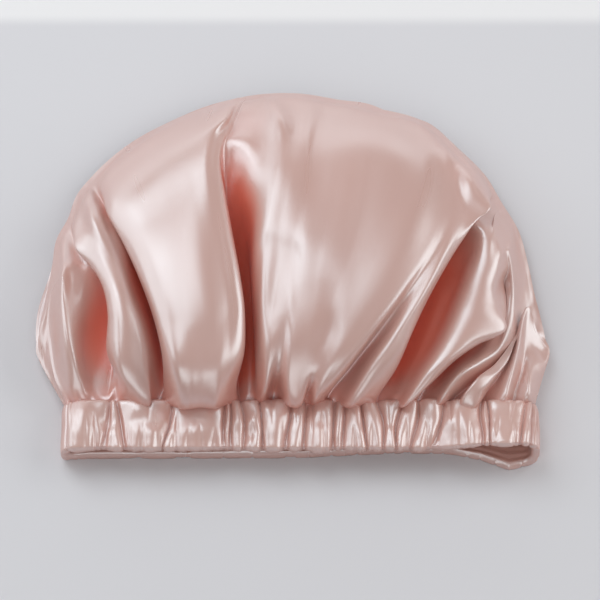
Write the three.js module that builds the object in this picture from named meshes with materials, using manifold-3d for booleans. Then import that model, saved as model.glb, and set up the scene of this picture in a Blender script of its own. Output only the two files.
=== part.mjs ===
// Satin sleep cap lying flat on a table: a puffed crown of two gathered panels, sewn round the arch,
// and a ruched band of folded casing with a flat elastic run inside it. Millimetres, +Z up.
// The mouth faces -Y, the underside lies on Z = 0, and the loop of the band folds at its two sides.
import * as THREE from "three";
import { mergeVertices } from "three/addons/utils/BufferGeometryUtils.js";
import Module from "manifold-3d";

const wasm = await Module();
wasm.setup();

// Cloth, elastic and the gap kept between neighbouring pieces
const CLOTH = 0.8;
const ELASTIC_THICK = 1.5;
const ELASTIC_WIDTH = 25;
const FIT_GAP = 0.3;

// Band, laid flat
const BAND_WIDTH = 270; // over the two side folds
const MOUTH_GAP = 10; // between the two inner faces
const SEAM_TURN = 3.3; // seam allowance turned into the casing above the elastic
const GATHER_COUNT = 30; // ruched gathers on each half of the band
const GATHER_DEPTH = 0.5;

// Crown, laid flat
const CROWN_WIDTH = 292;
const CROWN_LENGTH = 211; // gathered seam to the far edge of the arch
const CROWN_HEIGHT = 63.5; // table to the top of the puffed front
const CROWN_SHIFT = -4; // the crown slumps a little to the left of the band
const WIDEST_AT = 45; // above the gathered seam
const LOWER_ROUND = 50; // length of the curve that runs in from the widest place to the band
const OVERHANG = 4; // how far the puffed front hangs forward over the seam
const SEAM_ALLOWANCE = 6; // turned-in edges of the arch seam

// Shape of the arch and of the puffed front
const OUTLINE_POWER = 2.25; // 2 is an ellipse, more is squarer
const OUTLINE_SWEEP = THREE.MathUtils.degToRad(105); // from the far edge down to beside the band
const PUFF_AT_BAND = 0.39; // under 1 rises steeply and is flat on top, over 1 slopes
const PUFF_AT_ARCH = 0.78;
const PUFF_AT_SIDES = 2.05; // more stays full further out to the two sides
const UNDERSIDE_DROP = 1.2; // how soon the back panel comes down to the table from the arch
const UNDERSIDE_AT_SIDES = 3;
const FOLD_SPREAD = 2.2; // over 1, the folds run straight up from the band before they spread to the arch
const FOLD_FLOOR = 0.25; // share of the rise that is left in the deepest fold
const COLUMNS = 56;
const ROWS = 16;
const FOLD_ROWS = 6; // facets round each side fold of the band

// Main folds of the front panel, from left to right. Across the band they are shares of half its width: where a
// fold starts, how far it leans to the right on its way to the arch, and how wide its valley is. reach is the share
// of that way it runs, and depth the share of the crown's height its valley goes down.
const FOLDS = [
  { foot: -0.87, lean: 0.24, width: 0.11, reach: 1, depth: 0.33 },
  { foot: -0.645, lean: 0.07, width: 0.088, reach: 1, depth: 0.215 },
  { foot: -0.2, lean: 0.08, width: 0.075, reach: 0.75, depth: 0.36 },
  { foot: 0.05, lean: 0.23, width: 0.11, reach: 0.91, depth: 0.085 },
  { foot: 0.36, lean: 0.105, width: 0.11, reach: 1, depth: 0.097 },
  { foot: 0.56, lean: 0.05, width: 0.067, reach: 1, depth: 0.4 },
  { foot: 0.635, lean: 0.005, width: 0.105, reach: 1, depth: 0.237 },
  { foot: 0.75, lean: -0.04, width: 0.11, reach: 0.4, depth: 0.375 },
  { foot: 0.81, lean: 0.135, width: 0.11, reach: 1, depth: 0.5 },
];

// Worked out from the sizes above
const LAYER = 2 * CLOTH + ELASTIC_THICK + 2 * FIT_GAP; // casing, elastic, casing
const LOOP_RADIUS = LAYER + MOUTH_GAP / 2; // outer radius of a side fold, and the height of the parting
const LOOP_RUN = BAND_WIDTH - 2 * LOOP_RADIUS; // straight run between the side folds
const ELASTIC_FROM = CLOTH + FIT_GAP; // above the mouth edge
const TURN_FROM = ELASTIC_FROM + ELASTIC_WIDTH + FIT_GAP;
const BAND_HEIGHT = TURN_FROM + SEAM_TURN;
const CROWN_FROM = BAND_HEIGHT + FIT_GAP;
const CROWN_INSET = (LAYER - CLOTH) / 2; // the crown's edge meets the middle of the band's layer

const satin = new THREE.MeshStandardMaterial({ color: 0xd3aea6, roughness: 0.38, metalness: 0.05 });
const satinInside = new THREE.MeshStandardMaterial({ color: 0xc79c93, roughness: 0.5, metalness: 0 });
const elasticWeave = new THREE.MeshStandardMaterial({ color: 0xefe7e3, roughness: 0.85, metalness: 0 });

// A closed geometry as a solid that can be cut.
function solidOf(geometry) {
  const bare = geometry.clone();
  bare.deleteAttribute("normal");
  bare.deleteAttribute("uv");
  const merged = mergeVertices(bare, 1e-4);
  return new wasm.Manifold(
    new wasm.Mesh({
      numProp: 3,
      vertProperties: new Float32Array(merged.attributes.position.array),
      triVerts: new Uint32Array(merged.index.array),
    }),
  );
}

// A solid as a geometry that can be drawn.
function geometryOf(solid) {
  const { vertProperties, triVerts } = solid.getMesh();
  const geometry = new THREE.BufferGeometry();
  geometry.setAttribute("position", new THREE.BufferAttribute(new Float32Array(vertProperties), 3));
  geometry.setIndex(new THREE.BufferAttribute(new Uint32Array(triVerts), 1));
  geometry.computeVertexNormals();
  return geometry;
}

function named(name, geometry, material) {
  const mesh = new THREE.Mesh(geometry, material);
  mesh.name = name;
  return mesh;
}

// A point of the band's half loop as (across, up from the parting): share 0 is the left fold, 1 the right one.
function loopPoint(share, inset) {
  const radius = LOOP_RADIUS - inset;
  const quarter = (Math.PI / 2) * LOOP_RADIUS;
  const along = share * (LOOP_RUN + 2 * quarter);
  const past = along - quarter - LOOP_RUN;
  if (along < quarter) {
    const turn = along / LOOP_RADIUS;
    return new THREE.Vector2(-LOOP_RUN / 2 - radius * Math.cos(turn), radius * Math.sin(turn));
  }
  if (past > 0) {
    const turn = past / LOOP_RADIUS;
    return new THREE.Vector2(LOOP_RUN / 2 + radius * Math.sin(turn), radius * Math.cos(turn));
  }
  return new THREE.Vector2(along - quarter - LOOP_RUN / 2, radius);
}

// Shares of the half loop that follow its two folds and, with gathers, each ruched gather between them.
function loopShares(gathers) {
  const quarter = (Math.PI / 2) * LOOP_RADIUS;
  const total = LOOP_RUN + 2 * quarter;
  const fold = Array.from({ length: FOLD_ROWS }, (_, i) => ((i / FOLD_ROWS) * quarter) / total);
  const steps = gathers ? 4 * GATHER_COUNT : 1;
  const run = Array.from({ length: steps + 1 }, (_, i) => (quarter + (i / steps) * LOOP_RUN) / total);
  return [...fold, ...run, ...fold.map((share) => 1 - share).reverse()];
}

// How far a ruched gather draws the outer face in; the folds at the two ends stay round.
function gatherInset(share) {
  const { x } = loopPoint(share, 0);
  const onRun = Math.abs(x) < LOOP_RUN / 2;
  const phase = ((x + LOOP_RUN / 2) / LOOP_RUN) * GATHER_COUNT;
  return onRun ? GATHER_DEPTH * 0.5 * (1 - Math.cos(2 * Math.PI * phase)) : 0;
}

// A layer of the half loop between two insets, standing from one height of the band to another.
// side is 1 for the front half, above the parting, and -1 for the back half, under it.
function loopLayer(side, insetOut, insetIn, from, to, gathered = false) {
  const outer = loopShares(gathered).map((share) =>
    loopPoint(share, insetOut + (gathered ? gatherInset(share) : 0)),
  );
  const inner = loopShares(false).map((share) => loopPoint(share, insetIn)).reverse();
  const clear = FIT_GAP / 2;
  const lifted = [...outer, ...inner].map(
    ({ x, y }) => new THREE.Vector2(x, LOOP_RADIUS + side * Math.max(y, clear)),
  );
  const layer = new THREE.ExtrudeGeometry(new THREE.Shape(lifted), { depth: to - from, bevelEnabled: false });
  return layer.rotateX(Math.PI / 2).translate(0, to, 0);
}

// The casing is one strip folded at the mouth edge, so it is open where the crown is sewn in.
function casing(side) {
  const whole = solidOf(loopLayer(side, 0, LAYER, 0, BAND_HEIGHT, side > 0));
  const slot = solidOf(loopLayer(side, CLOTH, LAYER - CLOTH, CLOTH, BAND_HEIGHT + 1));
  // The slot runs past the parting, so that the strip's two faces end apart there
  return geometryOf(whole.subtract(slot).subtract(slot.translate(0, 0, -side * FIT_GAP)));
}

function elastic(side) {
  const inset = CLOTH + FIT_GAP;
  return loopLayer(side, inset, LAYER - inset, ELASTIC_FROM, ELASTIC_FROM + ELASTIC_WIDTH);
}

function gatherSeam(side) {
  const inset = CLOTH + FIT_GAP;
  return loopLayer(side, inset, LAYER - inset, TURN_FROM, BAND_HEIGHT);
}

const signedPower = (value, power) => Math.sign(value) * Math.abs(value) ** power;

// The arch in plan: across is 0 at the far edge and -1 or 1 beside the band, left or right.
function archPoint(across) {
  const angle = across * OUTLINE_SWEEP;
  const x = signedPower(Math.sin(angle), 2 / OUTLINE_POWER);
  const y = signedPower(Math.cos(angle), 2 / OUTLINE_POWER);
  const length = y > 0 ? CROWN_LENGTH - WIDEST_AT : LOWER_ROUND;
  return new THREE.Vector2(CROWN_SHIFT + (x * CROWN_WIDTH) / 2, BAND_HEIGHT + WIDEST_AT + y * length);
}

// The arch moved inwards, square to itself.
function archInset(across, inset) {
  const step = 1e-3;
  const here = archPoint(across);
  const along = archPoint(across + step).sub(archPoint(across - step)).normalize();
  return new THREE.Vector2(here.x + along.y * inset, here.y - along.x * inset);
}

// Where a column of the crown starts along the band, from -1 to 1; columns lie closer where the crown turns down.
function columnFoot(column) {
  const even = (2 * column) / COLUMNS - 1;
  return (even + Math.sin((even * Math.PI) / 2)) / 2;
}

// How far a column leans to the right on its way to the arch, so that it runs along the folds beside it.
function columnLean(foot) {
  const stops = [{ foot: -1, lean: 0 }, ...FOLDS, { foot: 1, lean: 0 }];
  const next = Math.max(1, stops.findIndex((stop) => stop.foot >= foot));
  const [left, right] = [stops[next - 1], stops[next]];
  return THREE.MathUtils.mapLinear(foot, left.foot, right.foot, left.lean, right.lean);
}

// How deep the folds are at a place on the front; up is 0 at the gathered seam and 1 at the arch.
function foldDepth(columnAt, up) {
  const depths = FOLDS.map(({ foot, reach, depth, width }) => {
    const strength = Math.max(0, Math.sin(Math.PI * Math.min(1, up / reach) ** 1.2)) ** 0.3;
    return CROWN_HEIGHT * depth * strength * Math.exp(-(((columnAt - foot) / width) ** 2));
  });
  return Math.max(...depths);
}

// A point of a crown panel's outer face; side is 1 for the front and -1 for the back.
function crownPoint(side, column, row) {
  const climb = Math.PI * (row / ROWS);
  const up = (1 - Math.cos(climb)) / 2;
  const hump = Math.max(0, Math.sin(climb));
  const foot = columnFoot(column);
  const across = foot + columnLean(foot) * up;
  const fullness = (power) => Math.max(0, 1 - Math.abs(across) ** power) ** 0.5;
  const band = loopPoint((across + 1) / 2, CROWN_INSET);
  const arch = archPoint(across);
  const clear = FIT_GAP / 2;
  const x = band.x + (arch.x - band.x) * up ** FOLD_SPREAD;
  const y = CROWN_FROM + (arch.y - CROWN_FROM) * up;
  const bandLift = Math.max(band.y, clear) * (1 - up) + clear * up;
  if (side < 0) {
    const drop = UNDERSIDE_DROP * LOOP_RADIUS * hump * fullness(UNDERSIDE_AT_SIDES);
    return new THREE.Vector3(x, y, Math.max(0, LOOP_RADIUS - bandLift - drop));
  }
  const edge = fullness(PUFF_AT_SIDES);
  const puff = hump ** THREE.MathUtils.lerp(PUFF_AT_BAND, PUFF_AT_ARCH, up);
  const rise = (CROWN_HEIGHT - LOOP_RADIUS - bandLift) * puff * edge;
  const nearSeam = Math.max(0, 1 - up / 0.4);
  const forward = OVERHANG * hump * nearSeam * edge;
  const puffed = Math.max(FOLD_FLOOR * rise, rise - foldDepth(foot, up) * edge);
  return new THREE.Vector3(x, y - forward, LOOP_RADIUS + bandLift + puffed);
}

// A crown panel: its outer face on a grid, its inner face one cloth inside it, and its rim.
// The rim stays in the plane of the parting round the arch, and square to the band along the seam.
function crownPanel(side) {
  const outer = [];
  const inner = [];
  for (let column = 0; column <= COLUMNS; column++) {
    for (let row = 0; row <= ROWS; row++) {
      const here = crownPoint(side, column, row);
      const west = crownPoint(side, Math.max(column - 0.1, 0), row);
      const east = crownPoint(side, Math.min(column + 0.1, COLUMNS), row);
      const south = crownPoint(side, column, Math.max(row - 0.1, 0));
      const north = crownPoint(side, column, Math.min(row + 0.1, ROWS));
      const inwards = new THREE.Vector3().crossVectors(east.sub(west), north.sub(south)).multiplyScalar(-side);
      if (row === 0) inwards.y = 0;
      if (row === ROWS || column === 0 || column === COLUMNS) inwards.z = 0;
      outer.push(here);
      inner.push(here.clone().addScaledVector(inwards.normalize(), CLOTH));
    }
  }
  const at = (column, row) => column * (ROWS + 1) + row;
  const under = outer.length;
  const index = [];
  const rim = [];
  for (let column = 0; column < COLUMNS; column++) {
    for (let row = 0; row < ROWS; row++) {
      const [a, b, c, d] = [at(column, row), at(column + 1, row), at(column + 1, row + 1), at(column, row + 1)];
      const halves = [a, b, d, b, c, d];
      index.push(...halves, ...halves.map((corner) => under + corner).reverse());
    }
    rim.push([at(column, 0), at(column + 1, 0)], [at(column + 1, ROWS), at(column, ROWS)]);
  }
  for (let row = 0; row < ROWS; row++) {
    rim.push([at(COLUMNS, row), at(COLUMNS, row + 1)], [at(0, row + 1), at(0, row)]);
  }
  rim.forEach(([a, b]) => index.push(b, a, under + a, b, under + a, under + b));
  if (side < 0) index.reverse();
  const geometry = new THREE.BufferGeometry().setFromPoints([...outer, ...inner]);
  geometry.setIndex(index);
  geometry.computeVertexNormals();
  return geometry;
}

// The turned-in edges of the arch seam: a flat ribbon inside the arch, lying at the parting.
function archSeam() {
  const near = CLOTH + 5 * FIT_GAP;
  const feet = Array.from({ length: COLUMNS - 5 }, (_, i) => columnFoot(i + 3));
  const places = feet.map((foot) => foot + columnLean(foot));
  const outer = places.map((across) => archInset(across, near));
  const inner = places.map((across) => archInset(across, near + SEAM_ALLOWANCE)).reverse();
  const ribbon = new THREE.ExtrudeGeometry(new THREE.Shape([...outer, ...inner]), {
    depth: 2 * CLOTH,
    bevelEnabled: false,
  });
  return ribbon.translate(0, 0, LOOP_RADIUS - 1.5 * FIT_GAP);
}

const FRONT = 1;
const BACK = -1;

const upperHalf = new THREE.Group();
upperHalf.add(
  named("crown_front_panel", crownPanel(FRONT), satin),
  named("front_casing", casing(FRONT), satin),
  named("front_elastic", elastic(FRONT), elasticWeave),
  named("front_gather_seam", gatherSeam(FRONT), satinInside),
);

const lowerHalf = new THREE.Group();
lowerHalf.add(
  named("crown_back_panel", crownPanel(BACK), satin),
  named("back_casing", casing(BACK), satin),
  named("back_elastic", elastic(BACK), elasticWeave),
  named("back_gather_seam", gatherSeam(BACK), satinInside),
  named("arch_seam", archSeam(), satinInside),
);

// The origin is on the table, under the middle of the whole cap
const cap = new THREE.Group();
cap.add(upperHalf, lowerHalf);
const box = new THREE.Box3().setFromObject(cap);
const middle = box.getCenter(new THREE.Vector3());
cap.position.set(-middle.x, -middle.y, -box.min.z);

export default cap;
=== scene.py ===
"""Looks of a satin sleep cap lying on a table: puffed crown, ruched band, elastic, seams and stitches."""

import math

import bpy
import numpy as np
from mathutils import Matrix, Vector


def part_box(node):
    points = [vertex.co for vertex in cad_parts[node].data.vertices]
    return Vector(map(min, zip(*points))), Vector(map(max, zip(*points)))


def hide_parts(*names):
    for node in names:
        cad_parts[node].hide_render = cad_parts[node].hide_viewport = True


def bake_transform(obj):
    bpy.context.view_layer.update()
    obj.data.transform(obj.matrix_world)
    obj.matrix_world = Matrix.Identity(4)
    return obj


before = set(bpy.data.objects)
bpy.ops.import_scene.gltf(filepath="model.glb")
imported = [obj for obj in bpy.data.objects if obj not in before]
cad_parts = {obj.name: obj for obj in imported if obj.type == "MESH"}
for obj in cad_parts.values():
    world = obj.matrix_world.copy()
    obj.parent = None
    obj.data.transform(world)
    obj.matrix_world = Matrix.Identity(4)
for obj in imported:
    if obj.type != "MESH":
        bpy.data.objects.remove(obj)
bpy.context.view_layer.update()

MM = 0.001  # shapes are worked out in millimetres and stored in metres

# Places read from the frame, in millimetres
_casing_low = np.array(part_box("back_casing")[0]) / MM
_casing_high = np.array(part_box("front_casing")[1]) / MM
_crown_low, _crown_high = (np.array(corner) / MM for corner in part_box("crown_back_panel"))
BAND_MIDDLE = (_casing_low[0] + _casing_high[0]) / 2
BAND_WIDTH = _casing_high[0] - _casing_low[0]
MOUTH_Y = _casing_low[1]
SEAM_Y = _casing_high[1]
BAND_HEIGHT = SEAM_Y - MOUTH_Y
STACK = _casing_high[2]  # both halves of the band, lying on each other
PARTING = STACK / 2  # height at which the front and the back of the cap meet
CROWN_MIDDLE = (_crown_low[0] + _crown_high[0]) / 2
CROWN_HALF_WIDTH = (_crown_high[0] - _crown_low[0]) / 2
ARCH_Y = _crown_high[1]

# Cloth and band sizes
LAYER = 3.7  # casing, elastic and casing
CROWN_INSET = 1.45  # the crown's edge is sewn between the casing's two faces
CROWN_LAP = 0.3  # how far the crown's edge stays above the casing's
CLEAR_OF_TABLE = 0.3
WIDEST_ABOVE_SEAM = 45  # where the crown is widest
LOWER_ROUND = 50  # the length over which it rounds in below that
ARCH_POWER = 2.25  # 2 is an ellipse, and more is squarer
ARCH_SWEEP = 105  # degrees from the far edge to beside the band
# How far the sewn arch lies outside its even curve, by direction in degrees from the far edge
ARCH_UNEVEN = [(-105, 3), (-93, 1.5), (-87, 2), (-75, -2.2), (-69, 0), (-63, -1.2), (-57, 1.2), (-51, 0.5), (-39, -1),
               (-27, -2.2), (-15, -0.5), (0, 1), (9, -1.8), (15, -1.2), (21, -2.8), (30, 0.6), (39, -2.5), (51, -3.5),
               (57, -5), (66, -4), (75, -5.2), (81, -5), (87, -2.5), (93, 1.2), (99, 3), (105, 4)]

# The photograph, for the places of the folds: its scale, its middle column and the row of the band's mouth edge
PIXEL = 0.574
MIDDLE_COLUMN = 300
MOUTH_ROW = 460
ELEVATION = math.radians(60)

# Fold lines of the crown's front, from left to right: the column where a line leaves the band, points on it as
# column, row and height above the table, and the direction, in degrees from the far edge, where it meets the arch
FOLD_LINES = [
    (64, [], -105),
    (74, [(56, 366, 17), (46, 335, 21), (45, 300, 22)], -90),
    (93, [(82, 372, 27), (70, 335, 36), (64, 300, 38), (61, 270, 36), (60, 254, 31)], -74),
    (103, [(97, 378, 18), (89, 345, 22), (83, 310, 27), (77, 283, 31), (71, 262, 31)], -68),
    (108, [(112, 375, 15), (114, 345, 13), (114, 312, 15), (104, 284, 22), (88, 260, 29)], -65.5),
    (112, [(116, 372, 26), (109, 345, 36), (112, 310, 43), (108, 283, 43), (93, 257, 37), (76, 243, 30)], -63),
    (120, [(126, 388, 30), (121, 360, 42), (120, 322, 48), (116, 290, 49), (103, 255, 44), (86, 228, 34)], -60),
    (140, [(150, 402, 26), (144, 374, 37), (135, 332, 46), (124, 290, 49), (108, 248, 44), (90, 213, 34)], -57),
    (151, [(153, 393, 24), (153, 362, 36), (146, 325, 43), (133, 290, 45), (117, 250, 42), (97, 210, 34)], -55),
    (157, [(165, 385, 16), (168, 360, 17), (160, 320, 18), (149, 285, 22), (134, 250, 28), (112, 216, 31)], -53),
    (162, [(165, 385, 26), (164, 360, 40), (157, 320, 49), (145, 280, 51), (128, 240, 47), (108, 204, 38)], -50),
    (170, [(177, 400, 33), (174, 364, 52), (167, 315, 58), (154, 268, 58), (138, 225, 53), (121, 190, 44)], -45),
    (200, [(203, 402, 34), (206, 376, 49), (205, 322, 60), (196, 252, 63), (184, 185, 56), (172, 146, 44)], -27),
    (226, [(224, 400, 33), (229, 364, 50), (229, 305, 58.5), (220, 246, 60.5), (211, 190, 58.5), (206, 152, 56),
           (209, 130, 52), (221, 113, 46)], -11.5),
    (238, [(238, 386, 29), (246, 352, 46), (246, 312, 54), (240, 272, 57), (230, 230, 57.5), (220, 190, 56),
           (214, 158, 53.5), (217, 134, 50.5), (229, 114, 45)], -9.5),
    (245, [(240, 378, 14), (239, 345, 13), (239, 310, 13), (233, 272, 16), (227, 232, 23), (223, 195, 33),
           (222, 165, 41), (227, 138, 44.5), (239, 115, 42.5)], -8),
    (250, [(250, 378, 18), (252, 345, 18), (253, 310, 18), (251, 272, 21), (249, 232, 29), (246, 195, 40),
           (246, 165, 46.5), (250, 138, 48.5), (257, 112, 43.5)], -6.5),
    (255, [(258, 386, 29), (259, 345, 46), (260, 300, 54.5), (262, 266, 58.5), (265, 240, 60), (271, 202, 61),
           (278, 165, 59.5), (284, 138, 55.5), (283, 112, 46)], -4),
    (262, [(266, 388, 33), (269, 345, 51), (274, 300, 57), (280, 250, 61), (286, 205, 62), (293, 165, 60),
           (297, 130, 51)], 0.5),
    (273, [(275, 386, 20), (279, 362, 44), (284, 320, 57), (293, 250, 62), (303, 185, 61), (308, 130, 50)], 4),
    (285, [(287, 400, 31), (287, 380, 42), (291, 345, 54), (300, 280, 62), (312, 205, 62), (318, 140, 51)], 7),
    (296, [(299, 402, 31), (300, 380, 42), (306, 345, 54), (317, 280, 62), (331, 205, 61), (338, 140, 51)], 11),
    (303, [(306, 392, 26), (312, 370, 45), (330, 320, 57), (352, 250, 62), (367, 180, 58), (372, 135, 47)], 18),
    (314, [(316, 399, 31), (334, 365, 49), (360, 320, 58), (392, 260, 62), (417, 200, 58), (427, 155, 46)], 29),
    (323, [(325, 393, 28), (346, 366, 44), (371, 331, 54), (400, 290, 59), (431, 232, 57), (446, 180, 46),
           (449, 144, 29)], 37),
    (328, [(329, 390, 20), (350, 362, 30), (376, 330, 43), (405, 292, 54), (440, 238, 55), (456, 190, 45),
           (460, 155, 32)], 41),
    (346, [(347, 402, 29), (366, 370, 44), (394, 332, 53), (420, 295, 57), (450, 245, 54), (470, 205, 45),
           (477, 178, 36)], 47),
    (370, [(373, 394, 27), (392, 366, 40), (406, 336, 47), (421, 305, 50), (441, 268, 50), (463, 233, 47),
           (480, 213, 43), (492, 202, 38)], 53),
    (377, [(379, 388, 15), (388, 364, 13), (399, 334, 13), (413, 303, 14), (433, 266, 18), (455, 234, 27),
           (477, 215, 34)], 56.5),
    (386, [(396, 389, 23), (413, 362, 26), (429, 334, 26), (443, 305, 25), (459, 278, 27), (474, 252, 32),
           (487, 228, 36)], 59),
    (398, [(403, 404, 28), (425, 373, 40), (452, 340, 44), (474, 310, 44), (487, 275, 42), (496, 240, 40),
           (501, 214, 37)], 61.5),
    (410, [(417, 394, 25), (433, 379, 34), (453, 357, 40), (478, 338, 40), (508, 325, 36), (500, 303, 38),
           (498, 285, 38), (505, 250, 36), (506, 222, 32)], 65),
    (416, [(420, 389, 15), (436, 371, 15), (458, 350, 17), (486, 333, 20), (508, 318, 20), (507, 300, 20),
           (506, 280, 20), (513, 250, 18)], 70),
    (433, [(437, 401, 24), (447, 386, 31), (462, 369, 34), (482, 358, 31), (500, 348, 27), (515, 320, 22)], 77),
    (447, [(452, 392, 16), (464, 382, 18), (478, 372, 20), (495, 360, 20), (515, 340, 19)], 81),
    (457, [(458, 402, 25), (464, 388, 31), (476, 373, 33), (494, 360, 28), (516, 332, 20)], 84.5),
    (467, [(472, 404, 25), (477, 388, 30), (488, 374, 31), (503, 360, 26), (523, 328, 19)], 87.5),
    (478, [(482, 392, 16), (494, 376, 18), (510, 352, 18), (527, 312, 16)], 91),
    (494, [(499, 395, 25), (508, 370, 26), (519, 340, 22), (532, 305, 16)], 95),
    (508, [(512, 390, 17), (521, 366, 17), (531, 335, 15)], 98),
    (520, [(525, 390, 23), (533, 362, 20), (540, 338, 15)], 101),
    (536, [], 105),
]
# How firmly a valley of the folds is held while the cloth settles, by its place in the list above
HELD_VALLEYS = {4: 0.8, 9: 0.8, 15: 0.8, 16: 0.6, 25: 0.3, 28: 0.8, 29: 0.6, 32: 0.7, 34: 0.5, 37: 0.5, 39: 0.5}
HOLLOW_TO_ARCH = (14, 15, 16)  # lines of the fold that stays hollow up to the arch
# The crown front's grid: its columns and rows
CROWN_COLUMNS = 240
CROWN_ROWS = 100
# The crown's shoulder: its full height, its slope at the arch, and how far in from the arch it reaches
SHOULDER_HEIGHT = 51
SHOULDER_SLOPE = 1.62
SHOULDER_REACH = 62
SHOULDER_TURN = (24, 13, 5)  # distances from the arch where it turns down
# Small gathers at the band: their lengths, how high they stand, how far they lean out over the band, and the shares
# of the crown's rows in which they start and fade
GATHER_WAVES = (5.3, 7.1, 9.7, 13.0)
GATHER_HEIGHT = 2.8
GATHER_LEAN = 1.4
GATHER_START = 0.015
GATHER_REACH = 0.05
TUCK_WAVES = (6.5, 9.0, 13.0, 19.0)  # lengths of the faint tucks at the arch, in columns of the grid
TUCK_HEIGHT = 0.16
SETTLE_FRAMES = 16
SETTLE_LIMIT = 3.5  # the furthest that settling moves a point
# Painted shade in the folds: columns to each side in which a fold's lobes are looked for, the depth at which
# the painted shade starts and the depth over which it grows, and its share and reach at the band's seam
FOLD_REACH = 44
FOLD_SHALLOW = 1.5
FOLD_RANGE = 18
SEAM_SHADE = 0.5
SEAM_SHADE_REACH = 0.1
# The back panel's grid, and the height of its gathers at the band
BACK_COLUMNS = 300
BACK_ROWS = 80
BACK_GATHER = 1.6
# The arch's seam allowance: the place of its middle in from the arch, half its width and half its thickness
ALLOWANCE_INSET = 4.4
ALLOWANCE_HALF_WIDTH = 3.2
ALLOWANCE_HALF_THICK = 0.18

# Creases of the ruched band's front, from left to right: column of the photograph, depth, and how far a crease
# runs: 0 over the whole height, above 0 a share of it down from the seam, below 0 a share of it up from the hem
FRONT_CREASES = [
    (70, 2.6, 0), (75, 1.2, 0.6), (79, 1.5, 0.6), (88, 0.8, -0.5), (97, 1.6, -0.6), (109, 2.4, 0), (115, 1.0, -0.4),
    (122, 2.0, 0), (133, 0.7, -0.35), (142, 0.8, -0.35), (150, 0.7, 0.4), (158, 0.8, -0.35), (170, 2.8, 0),
    (178, 1.6, -0.7), (190, 0.8, -0.3), (201, 0.9, -0.35), (212, 0.8, 0.35), (225, 2.0, 0), (231, 1.8, 0),
    (243, 2.2, 0), (251, 0.9, -0.4), (262, 2.6, 0), (273, 1.0, 0.5), (284, 1.2, -0.5), (289, 1.9, 0),
    (297, 0.9, 0.5), (305, 2.5, 0), (312, 1.4, 0.7), (323, 1.5, -0.6), (333, 2.0, 0), (343, 2.0, 0),
    (352, 0.9, -0.4), (363, 1.6, 0), (371, 1.0, -0.4), (380, 2.6, 0), (389, 1.0, 0.5), (398, 2.0, 0),
    (406, 1.2, -0.5), (414, 2.6, 0), (425, 1.2, -0.5), (437, 2.8, 0), (449, 1.2, 0.5), (458, 1.3, -0.6),
    (469, 1.0, -0.4), (480, 2.4, 0), (487, 2.0, 0), (497, 1.0, -0.5), (508, 1.3, 0.5), (521, 2.6, 0), (529, 1.8, 0),
]
BAND_COLUMNS = 1500
BAND_FULLNESS = 1.25  # the casing's flat length, as a multiple of the band's
HEM_PUFF = 0.5  # how much thicker the casing is at the mouth edge, as a share
HEM_SCALLOP = 0.55  # how far a puff pushes the mouth edge out, as a share of its height above the least
# Puffs between the long creases: the least height, what each millimetre of gap adds, and the greatest height; and
# how deep a long crease cuts in, with half its width
PUFF_LEAST = 1.5
PUFF_BY_GAP = 0.24
PUFF_MOST = 4.6
CREASE_CUT = 1.2
CREASE_HALF_WIDTH = 0.8
# The casing's rows round the mouth edge: share of the height, stand, share of the ruching, and inset
HEM_ROWS = [(-0.014, 0.3, 0.75, 0), (-0.03, 0, 0.7, 0.5), (-0.032, 0, 0.65, 1), (-0.034, 0, 0.45, 2.1),
            (0, 0, 0.15, 3.0)]
# Share of the painted shade colour in the band's creases, on its inside and on the back half's lip
CREASE_SHADE = 0.9
INSIDE_SHADE = 0.7
LIP_SHADE = 0.7
# The mouth's open right end: where it begins across from the band's middle, over what length it opens, and its lift
MOUTH_OPENS = 75
MOUTH_OPENS_OVER = 35
MOUTH_LIFT = 5
LIP_FOLD = 0.45  # height of the folds along the back half's lip
LIP_CLEAR_OF_TABLE = 0.15
# How far the back half's lip is drawn in from the mouth edge, by place across the band from its middle
LIP_DRAWN_IN = [(-135, 1.5), (-120, 3), (0, 3.5), (25, 5), (60, 6.5), (85, 6), (103, 2), (119, -4.5), (135, 0)]

# Stitches
STITCH_SPACING = 3.2
STITCH_LENGTH = 2.3
THREAD_THICKNESS = 0.5


# Camera, light and table


def make_camera():
    """A long lens far above the mouth side of the cap, at the photograph's angle and scale."""
    lens, sensor, picture = 400, 36, 600  # focal length and sensor width in millimetres, picture width in pixels
    aim = Vector((BAND_MIDDLE * MM, (MOUTH_Y + 95) * MM, 0.02))
    back = Vector((0, -math.cos(ELEVATION), math.sin(ELEVATION)))
    data = bpy.data.cameras.new("photo_camera")
    data.lens = lens
    data.sensor_width = sensor
    camera = bpy.data.objects.new("photo_camera", data)
    camera.location = aim + back * (picture * PIXEL * MM * lens / sensor)
    camera.rotation_mode = "QUATERNION"
    camera.rotation_quaternion = (-back).to_track_quat("-Z", "Y")
    bpy.context.scene.collection.objects.link(camera)
    bpy.context.scene.camera = camera


def make_softbox(name, place, size, power, colour):
    """A wide soft light at a place in metres, turned to the cap."""
    light = bpy.data.lights.new(name, "AREA")
    light.shape = "RECTANGLE"
    light.size, light.size_y = size
    light.energy = power
    light.color = colour
    lamp = bpy.data.objects.new(name, light)
    lamp.location = place
    lamp.rotation_mode = "QUATERNION"
    lamp.rotation_quaternion = (Vector((0, 0, 0.02)) - Vector(place)).to_track_quat("-Z", "Y")
    bpy.context.scene.collection.objects.link(lamp)


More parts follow.
